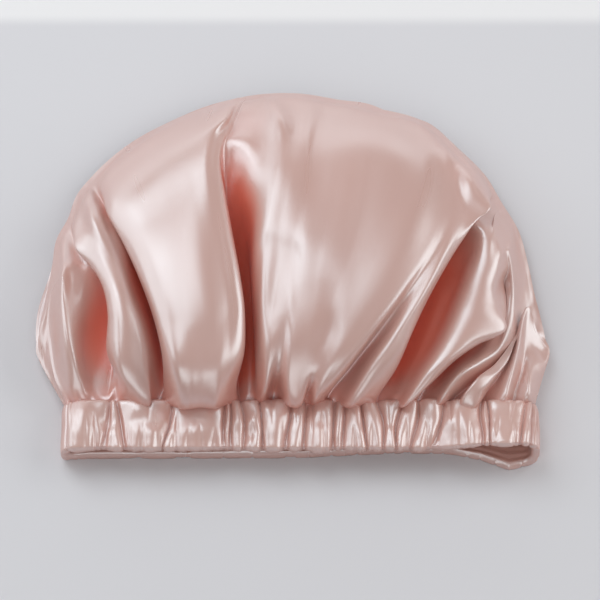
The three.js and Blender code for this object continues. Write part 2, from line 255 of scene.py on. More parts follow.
def make_light():
    """Wide soft windows above and behind the cap and at its sides, a soft fill in front, and an even room."""
    cool, plain = (0.94, 0.975, 1), (1, 0.99, 0.98)
    make_softbox("sky_window", (-0.65, 0.85, 1.65), (1.15, 1.5), 11, cool)
    make_softbox("back_window", (-0.3, 1.6, 0.35), (2.4, 0.7), 5, cool)
    make_softbox("left_window", (-1.4, 0.6, 0.8), (1.6, 1.1), 9, cool)
    make_softbox("right_window", (1.5, 0.3, 0.9), (1.6, 1.2), 13, plain)
    make_softbox("front_fill", (-0.2, -1.6, 1.3), (2, 1), 9, plain)
    world = bpy.data.worlds.new("studio")
    world.use_nodes = True
    background = world.node_tree.nodes["Background"]
    background.inputs["Color"].default_value = (1, 0.96, 0.94, 1)
    background.inputs["Strength"].default_value = 0.27
    bpy.context.scene.world = world


def make_table():
    """A pale table top with a lighter strip along its far edge, as at the top of the photograph."""
    bpy.ops.mesh.primitive_plane_add(size=8)
    table = bpy.context.object
    table.name = "table_top"
    material = bpy.data.materials.new("pale_table")
    material.use_nodes = True
    nodes, links = material.node_tree.nodes, material.node_tree.links
    shader = nodes["Principled BSDF"]
    shader.inputs["Roughness"].default_value = 0.7
    shader.inputs["Specular IOR Level"].default_value = 0.2
    coordinates = nodes.new("ShaderNodeTexCoord")
    parts = nodes.new("ShaderNodeSeparateXYZ")
    edge = nodes.new("ShaderNodeMapRange")
    edge.interpolation_type = "SMOOTHSTEP"
    edge.inputs["From Min"].default_value = 0.172
    edge.inputs["From Max"].default_value = 0.182
    tint = nodes.new("ShaderNodeMix")
    tint.data_type = "RGBA"
    tint.inputs["A"].default_value = (0.72, 0.725, 0.757, 1)
    tint.inputs["B"].default_value = (0.88, 0.885, 0.9, 1)
    links.new(coordinates.outputs["Object"], parts.inputs["Vector"])
    links.new(parts.outputs["Y"], edge.inputs["Value"])
    links.new(edge.outputs["Result"], tint.inputs["Factor"])
    links.new(tint.outputs["Result"], shader.inputs["Base Color"])
    table.data.materials.append(material)


# Materials


def satin_weave():
    """A node group for satin: thread lines, soft streaks along the cut and a small drift of tone, from the flat cut."""
    group = bpy.data.node_groups.new("satin_weave", "ShaderNodeTree")
    face = group.interface
    face.new_socket("Flat Cut", in_out="INPUT", socket_type="NodeSocketVector")
    for name, value in (("Threads", 3200.0), ("Streaks", 90.0)):
        face.new_socket(name, in_out="INPUT", socket_type="NodeSocketFloat").default_value = value
    for name in ("Tone", "Roughness", "Height"):
        face.new_socket(name, in_out="OUTPUT", socket_type="NodeSocketFloat")
    nodes, links = group.nodes, group.links
    given, made = nodes.new("NodeGroupInput"), nodes.new("NodeGroupOutput")
    stretch = nodes.new("ShaderNodeMapping")
    stretch.inputs["Scale"].default_value = (1, 0.12, 1)
    streaks = nodes.new("ShaderNodeTexNoise")
    streaks.inputs["Detail"].default_value = 2
    drift = nodes.new("ShaderNodeTexNoise")
    drift.inputs["Scale"].default_value = 22
    drift.inputs["Detail"].default_value = 2
    threads = nodes.new("ShaderNodeTexWave")
    threads.bands_direction = "DIAGONAL"
    threads.inputs["Distortion"].default_value = 1.5
    links.new(given.outputs["Flat Cut"], stretch.inputs["Vector"])
    links.new(stretch.outputs["Vector"], streaks.inputs["Vector"])
    links.new(given.outputs["Streaks"], streaks.inputs["Scale"])
    links.new(given.outputs["Flat Cut"], drift.inputs["Vector"])
    links.new(given.outputs["Flat Cut"], threads.inputs["Vector"])
    links.new(given.outputs["Threads"], threads.inputs["Scale"])

    def spread(value, low, high, name):
        node = nodes.new("ShaderNodeMapRange")
        node.inputs["From Min"].default_value = 0.3
        node.inputs["From Max"].default_value = 0.7
        node.inputs["To Min"].default_value = low
        node.inputs["To Max"].default_value = high
        links.new(value, node.inputs["Value"])
        if name:
            links.new(node.outputs["Result"], made.inputs[name])
        return node.outputs["Result"]

    spread(drift.outputs["Fac"], 0.0, 1.0, "Tone")
    spread(streaks.outputs["Fac"], 0.27, 0.36, "Roughness")
    added = nodes.new("ShaderNodeMath")
    added.operation = "MULTIPLY_ADD"
    added.inputs[1].default_value = 0.04
    links.new(threads.outputs["Fac"], added.inputs[0])
    links.new(spread(streaks.outputs["Fac"], 0.0, 1.0, None), added.inputs[2])
    links.new(added.outputs["Value"], made.inputs["Height"])
    return group


def make_satin(name, weave, light, painted_shade, folded):
    """Dyed satin with a strong soft gloss; where the piece gives a share of painted shade, the colour is mixed toward a
    painted shade colour, less on back faces.
    """
    material = bpy.data.materials.new(name)
    material.use_nodes = True
    nodes, links = material.node_tree.nodes, material.node_tree.links
    shader = nodes["Principled BSDF"]
    shader.inputs["IOR"].default_value = 3.2
    shader.inputs["Specular Tint"].default_value = (0.8, 0.95, 1, 1)
    shader.inputs["Sheen Weight"].default_value = 0.06
    shader.inputs["Sheen Roughness"].default_value = 0.35
    cut = nodes.new("ShaderNodeUVMap")
    cut.uv_map = "flat_cut"
    cloth = nodes.new("ShaderNodeGroup")
    cloth.node_tree = weave
    links.new(cut.outputs["UV"], cloth.inputs["Flat Cut"])
    tone = nodes.new("ShaderNodeMix")
    tone.data_type = "RGBA"
    tone.inputs["A"].default_value = (*(0.96 * part for part in light), 1)
    tone.inputs["B"].default_value = (*light, 1)
    links.new(cloth.outputs["Tone"], tone.inputs["Factor"])
    colour = tone.outputs["Result"]
    # painted shade: the colour mixes toward the painted shade colour by the piece's attribute, at 0.3 of it on back
    # faces
    if folded:
        depth = nodes.new("ShaderNodeAttribute")
        depth.attribute_name = "painted_fold_shade"
        shade = nodes.new("ShaderNodeMix")
        shade.data_type = "RGBA"
        shade.inputs["B"].default_value = (*painted_shade, 1)
        side = nodes.new("ShaderNodeNewGeometry")
        outside = nodes.new("ShaderNodeMapRange")
        outside.inputs["To Min"].default_value = 1
        outside.inputs["To Max"].default_value = 0.3
        both = nodes.new("ShaderNodeMath")
        both.operation = "MULTIPLY"
        links.new(side.outputs["Backfacing"], outside.inputs["Value"])
        links.new(depth.outputs["Fac"], both.inputs[0])
        links.new(outside.outputs["Result"], both.inputs[1])
        links.new(both.outputs["Value"], shade.inputs["Factor"])
        links.new(colour, shade.inputs["A"])
        colour = shade.outputs["Result"]
    links.new(colour, shader.inputs["Base Color"])
    links.new(cloth.outputs["Roughness"], shader.inputs["Roughness"])
    bump = nodes.new("ShaderNodeBump")
    bump.inputs["Strength"].default_value = 0.15
    bump.inputs["Distance"].default_value = 0.0003
    links.new(cloth.outputs["Height"], bump.inputs["Height"])
    links.new(bump.outputs["Normal"], shader.inputs["Normal"])
    return material


def make_thread():
    """Sewing thread, twisted along each stitch."""
    material = bpy.data.materials.new("blush_thread")
    material.use_nodes = True
    nodes, links = material.node_tree.nodes, material.node_tree.links
    shader = nodes["Principled BSDF"]
    shader.inputs["Roughness"].default_value = 0.5
    place = nodes.new("ShaderNodeTexCoord")
    twist = nodes.new("ShaderNodeTexWave")
    twist.bands_direction = "DIAGONAL"
    twist.inputs["Scale"].default_value = 900
    twist.inputs["Distortion"].default_value = 2
    tint = nodes.new("ShaderNodeMix")
    tint.data_type = "RGBA"
    tint.inputs["A"].default_value = (0.55, 0.27, 0.23, 1)
    tint.inputs["B"].default_value = (0.74, 0.46, 0.41, 1)
    bump = nodes.new("ShaderNodeBump")
    bump.inputs["Strength"].default_value = 0.4
    bump.inputs["Distance"].default_value = 0.0002
    links.new(place.outputs["Object"], twist.inputs["Vector"])
    links.new(twist.outputs["Fac"], tint.inputs["Factor"])
    links.new(tint.outputs["Result"], shader.inputs["Base Color"])
    links.new(twist.outputs["Fac"], bump.inputs["Height"])
    links.new(bump.outputs["Normal"], shader.inputs["Normal"])
    return material


def make_elastic_web():
    """Woven elastic: white ribs along its length, crossed by fine picks."""
    material = bpy.data.materials.new("elastic_web")
    material.use_nodes = True
    nodes, links = material.node_tree.nodes, material.node_tree.links
    shader = nodes["Principled BSDF"]
    shader.inputs["Roughness"].default_value = 0.8
    cut = nodes.new("ShaderNodeUVMap")
    cut.uv_map = "flat_cut"
    picks = nodes.new("ShaderNodeTexWave")
    picks.bands_direction = "X"
    picks.inputs["Scale"].default_value = 260
    picks.inputs["Distortion"].default_value = 0.6
    tint = nodes.new("ShaderNodeMix")
    tint.data_type = "RGBA"
    tint.inputs["A"].default_value = (0.6, 0.57, 0.55, 1)
    tint.inputs["B"].default_value = (0.8, 0.78, 0.76, 1)
    bump = nodes.new("ShaderNodeBump")
    bump.inputs["Strength"].default_value = 0.5
    bump.inputs["Distance"].default_value = 0.0003
    links.new(cut.outputs["UV"], picks.inputs["Vector"])
    links.new(picks.outputs["Fac"], tint.inputs["Factor"])
    links.new(tint.outputs["Result"], shader.inputs["Base Color"])
    links.new(picks.outputs["Fac"], bump.inputs["Height"])
    links.new(bump.outputs["Normal"], shader.inputs["Normal"])
    return material


# Shapes that several pieces share


def signed_power(value, power):
    """A power of the value's size, with the value's sign."""
    return np.sign(value) * np.abs(value) ** power


def arch_place(degrees):
    """The arch in plan, by direction: 0 is the far edge, negative is to the left."""
    angle = np.radians(degrees)
    across = signed_power(np.sin(angle), 2 / ARCH_POWER)
    along = signed_power(np.cos(angle), 2 / ARCH_POWER)
    widest = SEAM_Y + WIDEST_ABOVE_SEAM
    length = np.where(along > 0, ARCH_Y - widest, LOWER_ROUND)
    at, off = np.array(ARCH_UNEVEN, float).T
    off = smooth_through(off[:, None], at, np.atleast_1d(np.asarray(degrees, float)))[:, 0].reshape(np.shape(degrees))
    return (CROWN_MIDDLE + across * CROWN_HALF_WIDTH + off * np.sin(angle),
            widest + along * length + off * np.cos(angle))


def half_loop_lift(across):
    """How far the crown's edge stands above the parting, at a place across the band from its middle."""
    radius = PARTING - CROWN_INSET
    past = np.clip((np.abs(across) - (BAND_WIDTH / 2 - PARTING)) / radius, 0, 1)
    return radius * np.sqrt(1 - past**2)


def smooth_through(points, at, where):
    """A smooth curve through points, which lie at the rising numbers at, read where asked."""
    points, at = np.asarray(points, float), np.asarray(at, float)
    steps = np.diff(at)
    slopes = np.diff(points, axis=0) / steps[:, None]
    middle = (slopes[:-1] * steps[1:, None] + slopes[1:] * steps[:-1, None]) / (steps[1:] + steps[:-1])[:, None]
    slope = np.concatenate([slopes[:1], middle, slopes[-1:]])
    i = np.clip(np.searchsorted(at, where, side="right") - 1, 0, len(at) - 2)
    span = steps[i][:, None]
    t = ((where - at[i]) / steps[i])[:, None]
    return (
        points[i] * (2 * t**3 - 3 * t**2 + 1)
        + points[i + 1] * (3 * t**2 - 2 * t**3)
        + slope[i] * span * (t**3 - 2 * t**2 + t)
        + slope[i + 1] * span * (t**3 - t**2)
    )


def finer(grid):
    """The grid with a point added between each two, on a smooth surface through them."""
    for axis in (0, 1):
        lines = np.moveaxis(grid, axis, 0)
        count = len(lines)
        flat = smooth_through(lines.reshape(count, -1), np.arange(count), np.arange(2 * count - 1) / 2)
        grid = np.moveaxis(flat.reshape(2 * count - 1, *lines.shape[1:]), 0, axis)
    return grid


def grid_mesh(name, points, flat, material, closed=(False, False)):
    """A mesh over a grid of points in millimetres, with its flat cut, in metres, as its UV map."""
    columns, rows = points.shape[:2]
    number = np.arange(columns * rows).reshape(columns, rows)
    for axis in (0, 1):
        if closed[axis]:
            number = np.concatenate([number, number.take([0], axis)], axis)
    corners = np.stack([number[:-1, :-1], number[1:, :-1], number[1:, 1:], number[:-1, 1:]], -1).reshape(-1, 4)
    wide, tall = flat.shape[:2]
    place = np.arange(wide * tall).reshape(wide, tall)
    marks = np.stack([place[:-1, :-1], place[1:, :-1], place[1:, 1:], place[:-1, 1:]], -1).reshape(-1)
    mesh = bpy.data.meshes.new(name)
    mesh.from_pydata((points.reshape(-1, 3) * MM).tolist(), [], corners.tolist())
    layer = mesh.uv_layers.new(name="flat_cut")
    layer.data.foreach_set("uv", flat.reshape(-1, 2)[marks].astype(np.float32).reshape(-1))
    mesh.shade_smooth()
    mesh.materials.append(material)
    piece = bpy.data.objects.new(name, mesh)
    bpy.context.scene.collection.objects.link(piece)
    return piece


def flat_places(across, along):
    """Flat places, in metres, from millimetres across and along."""
    return np.stack(np.meshgrid(across, along, indexing="ij"), -1) * MM


def flat_panel(grid):
    """Flat places of a gathered panel: its rows and columns laid out at their own length."""
    along = np.linalg.norm(np.diff(grid, axis=1), axis=2).mean(0)
    across = np.linalg.norm(np.diff(grid, axis=0), axis=2).mean(1)
    return flat_places(np.r_[0, np.cumsum(across)], np.r_[0, np.cumsum(along)])


def put_on(piece, slot, *nodes):
    """The piece takes its solids' place: its transform is baked in and the solids that it stands for are hidden."""
    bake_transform(piece)
    if nodes:
        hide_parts(*nodes)
    return piece


# Crown


def on_table(column, row, height):
    """A place of the photograph at a height, as millimetres in the frame."""
    seen = (MOUTH_ROW - row) * PIXEL
    along = (seen - (height - 1) * math.cos(ELEVATION)) / math.sin(ELEVATION)
    return BAND_MIDDLE + (column - MIDDLE_COLUMN) * PIXEL, MOUTH_Y + along, height


def crown_front_folds():
    """The front of the crown as a grid of points over its fold lines, and each line's share of the grid."""
    shares = np.linspace(0, 1, CROWN_ROWS + 1)
    lines = []
    limit = BAND_WIDTH / 2 - CROWN_INSET
    for number, (column, points, direction) in enumerate(FOLD_LINES):
        foot = np.clip((column - MIDDLE_COLUMN) * PIXEL, -limit, limit)
        start = (BAND_MIDDLE + foot, SEAM_Y + CROWN_LAP, PARTING + half_loop_lift(foot))
        end = (*arch_place(direction), PARTING)
        points = [on_table(*point) for point in points]
        if points:
            points = fill_out(points, end, direction, number in HOLLOW_TO_ARCH)
        line = np.array([start, *points, end], float)
        run = np.r_[0, np.cumsum(np.linalg.norm(np.diff(line, axis=0), axis=1) ** 0.8)]
        fine = smooth_through(line, run, np.linspace(0, run[-1], 400))
        length = np.r_[0, np.cumsum(np.linalg.norm(np.diff(fine, axis=0), axis=1))]
        lines.append(np.stack([np.interp(shares * length[-1], length, axis) for axis in fine.T], 1))
    lines = np.array(lines)
    apart = np.linalg.norm(np.diff(lines, axis=0), axis=2)[:, 5:-8].mean(1)
    at = np.r_[0, np.cumsum(np.maximum(apart, 2) ** 0.7)]
    columns = np.linspace(0, at[-1], CROWN_COLUMNS + 1)
    grid = np.stack([smooth_through(lines[:, row], at, columns) for row in range(CROWN_ROWS + 1)], 1)
    rng = np.random.default_rng(3)
    across = grid[:, 0, 0]
    ruffle = sum(np.sin(across * 2 * np.pi / wave + rng.uniform(0, 6.28)) for wave in GATHER_WAVES) / 4
    near_band = np.clip(shares / GATHER_START, 0, 1) * np.exp(-shares / GATHER_REACH)
    grid[..., 2] += GATHER_HEIGHT * ruffle[:, None] * near_band
    grid[..., 1] -= GATHER_LEAN * ruffle[:, None] * near_band
    return seat_edges(grid), at / at[-1]


def fill_out(points, end, direction, hollow):
    """Brings a line's points near the arch onto an even shoulder, along the photograph's line of sight so that the
    folds stay in place, and adds the points where the shoulder turns down to the arch. A hollow line stays lower."""
    end = np.array(end)
    lying = np.array(points, float)
    points = lying.copy()
    side = math.sqrt(max(0.02, math.cos(math.radians(direction))))
    top = SHOULDER_HEIGHT * math.sqrt(1 - (abs(direction) / ARCH_SWEEP) ** 3)

    def shoulder(away):
        return PARTING + top * np.tanh(SHOULDER_SLOPE * away / top)

    for _ in range(4):
        away = np.hypot(*(points[:, :2] - end[:2]).T)
        t = np.clip((SHOULDER_REACH * side - away) / (0.5 * SHOULDER_REACH * side), 0, 1)
        rise = t * t * (3 - 2 * t) * (shoulder(away) - lying[:, 2])
        rise = np.minimum(rise, 0) if hollow else rise
        points[:, 1] = lying[:, 1] - rise / math.tan(ELEVATION)
        points[:, 2] = lying[:, 2] + rise
    points = points[np.hypot(*(points[:, :2] - end[:2]).T) > 12]
    inward = points[-1, :2] - end[:2]
    away = np.hypot(*inward)
    turn = []
    for inset in SHOULDER_TURN:
        if inset < 0.75 * away:
            height = min(shoulder(inset), PARTING + (points[-1, 2] - PARTING) * (inset / away) ** 0.55)
            turn.append((*(end[:2] + inward * inset / away), height))
    return [*points, *turn]


def seat_edges(grid):
    """Brings the grid's first row back onto the band's seam and its last one onto the arch."""
    limit = BAND_WIDTH / 2 - CROWN_INSET
    foot = np.clip(grid[:, 0, 0] - BAND_MIDDLE, -limit, limit)
    seam = np.full_like(foot, SEAM_Y + CROWN_LAP)
    grid[:, 0] = np.stack([BAND_MIDDLE + foot, seam, PARTING + half_loop_lift(foot)], 1)
    x, y = arch_place(np.linspace(-ARCH_SWEEP, ARCH_SWEEP, 4001))
    nearest = np.hypot(grid[:, -1, :1] - x, grid[:, -1, 1:2] - y).argmin(1)
    grid[:, -1] = np.stack([x[nearest], y[nearest], np.full(len(nearest), PARTING)], 1)
    grid[..., 2] = np.maximum(grid[..., 2], PARTING)
    return grid


def add_stop(name, points, closed, scale):
    """Something that the settling cloth comes to rest on, from a grid of points in millimetres."""
    flat = np.zeros((points.shape[0] + closed[0], points.shape[1] + closed[1], 2))
    stop = grid_mesh(name, points * scale / MM, flat, bpy.data.materials["blush_satin"], closed)
    stop.modifiers.new("stop", "COLLISION")
    stop.collision.thickness_outer = 0.01
    return stop


def table_stop():
    """The table, for the crown to rest on."""
    x, y = np.meshgrid([-400.0, 400.0], [-400.0, 400.0], indexing="ij")
    return np.stack([x, y, np.full_like(x, CLEAR_OF_TABLE)], -1)


def settle_cloth(grid, cut, held, stops, closed, bending, stiffness, pressure, frames):
    """Lets cloth settle from a grid of points, at ten times its size; its flat lengths are those of the grid cut."""
    scale = 10 * MM
    flat = np.zeros((grid.shape[0] + closed[0], grid.shape[1] + closed[1], 2))
    piece = grid_mesh("settling", grid * 10, flat, bpy.data.materials["blush_satin"], closed)
    group = piece.vertex_groups.new(name="held")
    firmness = np.round(held.reshape(-1), 2)
    for weight in np.unique(firmness[firmness > 0]):
        group.add(np.nonzero(firmness == weight)[0].tolist(), float(weight), "REPLACE")
    piece.shape_key_add(name="lying")
    key = piece.shape_key_add(name="cut", from_mix=False)
    key.data.foreach_set("co", (cut.reshape(-1, 3) * scale).reshape(-1))
    blocks = [add_stop(f"stop_{number}", *stop, scale) for number, stop in enumerate(stops)]
    cloth = piece.modifiers.new("settle", "CLOTH")
    satin = cloth.settings
    satin.quality = 6
    satin.mass = 0.15
    satin.tension_stiffness = satin.compression_stiffness = stiffness
    satin.shear_stiffness = stiffness / 3
    satin.bending_stiffness = bending
    satin.air_damping = 2
    satin.vertex_group_mass = "held"
    satin.rest_shape_key = key
    satin.use_pressure = pressure > 0
    satin.uniform_pressure_force = pressure
    satin.effector_weights.gravity = 0.2
    cloth.collision_settings.distance_min = 0.01
    cloth.collision_settings.use_self_collision = False
    cloth.point_cache.frame_start, cloth.point_cache.frame_end = 1, frames
    for number in range(1, frames + 1):
        bpy.context.scene.frame_set(number)
    graph = bpy.context.evaluated_depsgraph_get()
    settled = np.empty(grid.size)
    piece.evaluated_get(graph).data.vertices.foreach_get("co", settled)
    for used in (piece, *blocks):
        bpy.data.objects.remove(used)
    bpy.context.scene.frame_set(1)
    return (settled / scale).reshape(grid.shape)


def even_out(moved):
    """How far settling moved the points, without the small tents at the held ones."""
    fixed = np.ones(moved.shape[:2] + (1,))
    fixed[[0, -1]] = fixed[:, [0, -1]] = 0
    for _ in range(4):
        moved = moved * fixed
        for axis in (0, 1):
            padded = np.pad(moved, [(1, 1) if a == axis else (0, 0) for a in range(3)], mode="edge")
            moved = (padded.take(range(moved.shape[axis]), axis) + 2 * moved
                     + padded.take(range(2, moved.shape[axis] + 2), axis)) / 4
    return moved * fixed


def limit_moves(before, after, limit):
    """Where settling moved a point further than the limit, it stops about there."""
    moved = after - before
    length = np.linalg.norm(moved, axis=-1, keepdims=True)
    return before + moved * (limit * np.tanh(length / limit) / np.maximum(length, 1e-6))


def painted_fold_shade(grid):
    """Share of painted shade in the folds, by how far each point lies below the lower of the lobes on its two sides,
    from 0 on a lobe to 1 low in a fold, with painted shade along the band's seam.
    """
    height = grid[..., 2]
    padded = np.pad(height, ((FOLD_REACH, FOLD_REACH), (0, 0)), mode="edge")
    near = np.array([padded[shift:shift + len(height)] for shift in range(0, 2 * FOLD_REACH + 1, 2)])
    top = np.minimum(near[:FOLD_REACH // 2 + 1].max(0), near[FOLD_REACH // 2:].max(0))
    kernel = np.hanning(15) / np.hanning(15).sum()
    smooth = np.pad(top, ((7, 7), (0, 0)), mode="edge")
    top = np.stack([np.convolve(row, kernel, mode="valid") for row in smooth.T], 1)
    t = np.clip((top - height - FOLD_SHALLOW) / FOLD_RANGE, 0, 1)
    rows = np.linspace(0, 1, grid.shape[1])
    painted_shade = t * t * (3 - 2 * t) * np.clip((0.93 - rows) / 0.1, 0, 1)
    # painted shade along the band's seam, under the crown's overhang
    return np.maximum(painted_shade, SEAM_SHADE * np.exp(-((rows / SEAM_SHADE_REACH) ** 2)))


def arch_tucks(grid):
    """Faint ripples that run down from the arch seam, where the panel was eased in."""
    columns = np.arange(grid.shape[0])
    rows = np.linspace(0, 1, grid.shape[1])
    rng = np.random.default_rng(14)
    ripple = sum(np.sin(columns * 2 * np.pi / wave + rng.uniform(0, 6.28)) for wave in TUCK_WAVES) / 2
    return TUCK_HEIGHT * ripple[:, None] * np.clip((rows - 0.3) / 0.5, 0, 1) * np.clip((1 - rows) / 0.02, 0, 1)


def band_block():
    """The band's outside, for the crown to rest on."""
    x = np.array([-133.0, 133.0])
    section = [(MOUTH_Y, 0), (SEAM_Y - 1.2, 0), (SEAM_Y - 1.2, 16.6), (MOUTH_Y, 16.6)]
    return np.stack([np.stack([BAND_MIDDLE + x, np.full(2, y), np.full(2, float(z))], 1) for y, z in section], 1)


def make_crown_front(satin):
    """The puffed panel: it is laid over its fold lines, and then settles as cloth with its valleys held."""
    grid, line_share = crown_front_folds()
    rows = np.linspace(0, 1, CROWN_ROWS + 1)
    held = np.zeros(grid.shape[:2])
    middle = np.exp(-(((rows - 0.35) / 0.4) ** 4))
    for line, share in enumerate(line_share):
        column = round(share * CROWN_COLUMNS)
        held[column] = np.maximum(held[column], max(0.1, HELD_VALLEYS.get(line, 0)) * middle)
    held[:, 0] = held[:, -1] = held[0] = held[-1] = 1
    cut = grid.copy()
    cut[..., 0] += (grid[..., 0] - BAND_MIDDLE) * (0.004 + 0.022 * np.clip(1 - rows / 0.9, 0, 1))
    band = band_block()
    stops = [(band, (False, True)), (table_stop(), (False, False))]
    settled = settle_cloth(grid, cut, held, stops, closed=(False, False), bending=4, stiffness=15, pressure=0.4,
                           frames=SETTLE_FRAMES)
    grid = seat_edges(limit_moves(grid, grid + even_out(settled - grid), SETTLE_LIMIT))
    grid[..., 2] += arch_tucks(grid)
    grid = finer(grid)
    piece = grid_mesh("crown_front", grid, flat_panel(grid), satin)
    # painted shade in the folds and along the band's seam, kept as a point attribute
    depth = piece.data.attributes.new("painted_fold_shade", "FLOAT", "POINT")
    depth.data.foreach_set("value", painted_fold_shade(grid).reshape(-1).astype(np.float32))
    return put_on(piece, "satin", "crown_front_panel")


def make_crown_back(satin):
    """The panel that lies on the table: flat in the middle, drawn up to the arch seam and gathered at the band."""
    across = np.linspace(1, -1, BACK_COLUMNS + 1)
    up = np.sin(np.linspace(0, 1, BACK_ROWS + 1) * np.pi / 2)
    foot = across * (BAND_WIDTH / 2 - CROWN_INSET)
    arch_x, arch_y = arch_place(across * ARCH_SWEEP)
    x = BAND_MIDDLE + foot[:, None] + (arch_x - BAND_MIDDLE - foot)[:, None] * up
    y = SEAM_Y + CROWN_LAP + (arch_y - SEAM_Y - CROWN_LAP)[:, None] * up
    hump = np.sqrt(np.clip(1 - (2 * up - 1) ** 2, 0, 1)) * np.sqrt(1 - np.abs(across) ** 3)[:, None]
    edge = PARTING - half_loop_lift(foot)[:, None] * (1 - up)
    z = np.maximum(CLEAR_OF_TABLE, edge - 1.2 * PARTING * hump)
    gathers = 0.5 + 0.5 * np.sin(across * 95 + 1.3 * np.sin(across * 17))
    near_band = np.exp(-up / 0.12) * np.clip(up / 0.02, 0, 1) * (1 - np.abs(across) ** 6)[:, None]
    grid = np.stack([x, y, z + BACK_GATHER * gathers[:, None] * near_band], -1)
    piece = grid_mesh("crown_back", grid, flat_panel(grid), satin)
    # painted shade in the gathers at the band
    depth = piece.data.attributes.new("painted_fold_shade", "FLOAT", "POINT")
    depth.data.foreach_set("value", (0.5 * (gathers[:, None] * near_band)).reshape(-1).astype(np.float32))
    return put_on(piece, "satin", "crown_back_panel")


def along_arch(short, count):
    """Places along the arch in plan and the directions inward there, from some degrees short of its one end to as
    many short of its other end."""
    x, y = arch_place(np.linspace(-ARCH_SWEEP + short, ARCH_SWEEP - short, count))
    inward = np.stack([-np.gradient(y), np.gradient(x)], 1)
    return x, y, inward / -np.linalg.norm(inward, axis=1, keepdims=True)


def make_arch_seam(satin):
    """The two panels' seam allowance, turned in round the arch."""
    x, y, inward = along_arch(7, 700)
    along = np.linspace(0, 1, len(x))
    full = np.clip(np.sqrt(np.minimum(along, 1 - along) / 0.012), 0.03, 1)  # the allowance narrows to its two ends
    rings = []
    for turn in np.linspace(0, 2 * np.pi, 17)[:-1]:
        inset = ALLOWANCE_INSET - ALLOWANCE_HALF_WIDTH * full * np.cos(turn)
        z = PARTING + ALLOWANCE_HALF_THICK * full * np.sin(turn)
        rings.append(np.stack([x + inward[:, 0] * inset, y + inward[:, 1] * inset, z], 1))
    grid = np.stack(rings, 1)[:, ::-1]
    flat = flat_places(np.arange(len(grid)) * 0.9, np.arange(17) * 0.8)
    piece = grid_mesh("arch_seam_allowance", grid, flat, satin, closed=(False, True))
    return put_on(piece, "satin_inside", "arch_seam")


# Band


def loop_place(run):
    """Places and outward directions, in the X-Z plane, round the flattened loop, at millimetres from its left fold."""
    straight = BAND_WIDTH - 2 * PARTING
    quarter = math.pi / 2 * PARTING
    ends = np.cumsum([quarter, straight, 2 * quarter, straight, quarter])
    run = np.mod(run, ends[-1])
    turn = np.interp(run, np.r_[0, ends], np.pi * np.array([1, 0.5, 0.5, -0.5, -0.5, -1]))
    x = np.interp(run, np.r_[0, ends], np.array([-1, -1, 1, 1, -1, -1]) * straight / 2)
    outward = np.stack([np.cos(turn), np.sin(turn)], 1)
    return np.stack([x, np.zeros_like(x)], 1) + outward * PARTING, outward


def loop_length():
    """The length round the flattened loop."""
    return 2 * (BAND_WIDTH - 2 * PARTING) + 2 * math.pi * PARTING


def band_creases():
    """The band's creases as rows of place round the loop, depth and extent: the front's, then the back's at random."""
    rng = np.random.default_rng(5)
    front_middle = loop_length() / 4
    creases = [(front_middle + (c - MIDDLE_COLUMN) * PIXEL, depth, extent) for c, depth, extent in FRONT_CREASES]
    place, end = creases[-1][0] + 5, loop_length() + creases[0][0] - 4
    while place < end:
        creases.append((place, rng.uniform(0.8, 2.6), rng.choice([0, 0, 0.5, -0.5])))
        place += rng.uniform(4, 10)
    for place in np.arange(0, loop_length(), 10.0):
        creases.append((place + rng.uniform(-3, 3), rng.uniform(0.6, 1.6), -rng.uniform(0.2, 0.5)))
    return np.array(creases)


def soft_noise(run, up, wave, rows, seed):
    """Smooth noise from -1 to 1 round the loop and up the band."""
    total = loop_length()
    count = round(total / wave)
    table = np.random.default_rng(seed).uniform(-1, 1, (count, rows + 1))
    u, v = run / total * count, np.clip(up, 0, 1) * (rows - 1e-6)
    i, j = np.floor(u).astype(int), np.floor(v).astype(int)
    s, t = (f * f * (3 - 2 * f) for f in (u - i, v - j))
    low, high = ((1 - t) * table[k % count][:, j] + t * table[k % count][:, j + 1] for k in (i, i + 1))
    return (1 - s)[:, None] * low + s[:, None] * high


def ruching(run, up):
    """How far the casing's outer face stands out: puffs between the long creases, with short creases in them."""
    creases = band_creases()
    total = loop_length()
    rng = np.random.default_rng(21)
    long = creases[creases[:, 2] == 0][:, 0]
    long = np.sort(np.mod(long, total))
    lean, sway, swing = (rng.normal(0, size, len(long)) for size in (2.6, 1.1, 2))
    skew = rng.uniform(0.65, 1.5, len(long))
    out = np.zeros((len(run), len(up)))
    for j, share in enumerate(up):
        bent = long + lean * (share - 0.5) + sway * np.sin(4 * share + swing)
        bent = np.r_[bent[-1] - total, bent, bent[0] + total]
        i = np.clip(np.searchsorted(bent, run, side="right") - 1, 0, len(bent) - 2)
        gap = np.maximum(bent[i + 1] - bent[i], 1)
        t = np.clip((run - bent[i]) / gap, 0, 1) ** skew[i % len(long)]
        puff = np.minimum(PUFF_LEAST + PUFF_BY_GAP * gap, PUFF_MOST) * (1 - np.abs(2 * t - 1) ** 2.4) ** 0.65
        out[:, j] = puff - CREASE_CUT * np.exp(-(((t - np.round(t)) * gap / CREASE_HALF_WIDTH) ** 2))
    out += 1.2 * soft_noise(run, up, 15, 2, 31) + 0.8 * soft_noise(run, up, 8, 4, 32)
    for place, depth, extent in creases[creases[:, 2] != 0]:
        slope, left, right = rng.normal(0, 2), *rng.uniform(1, 3, 2)
        away = run[:, None] - place - slope * (up - 0.5)
        away = (away + total / 2) % total - total / 2
        fade = np.clip(1 - (1 - up if extent > 0 else up) / (1.25 * abs(extent)), 0, 1)
        groove = np.exp(-np.abs(away / (np.where(away < 0, left, right) * (0.3 + 0.7 * fade))) ** 1.5)
        out -= 1.3 * depth * groove * fade
    return np.where(out > 0, out, -np.tanh(-out))


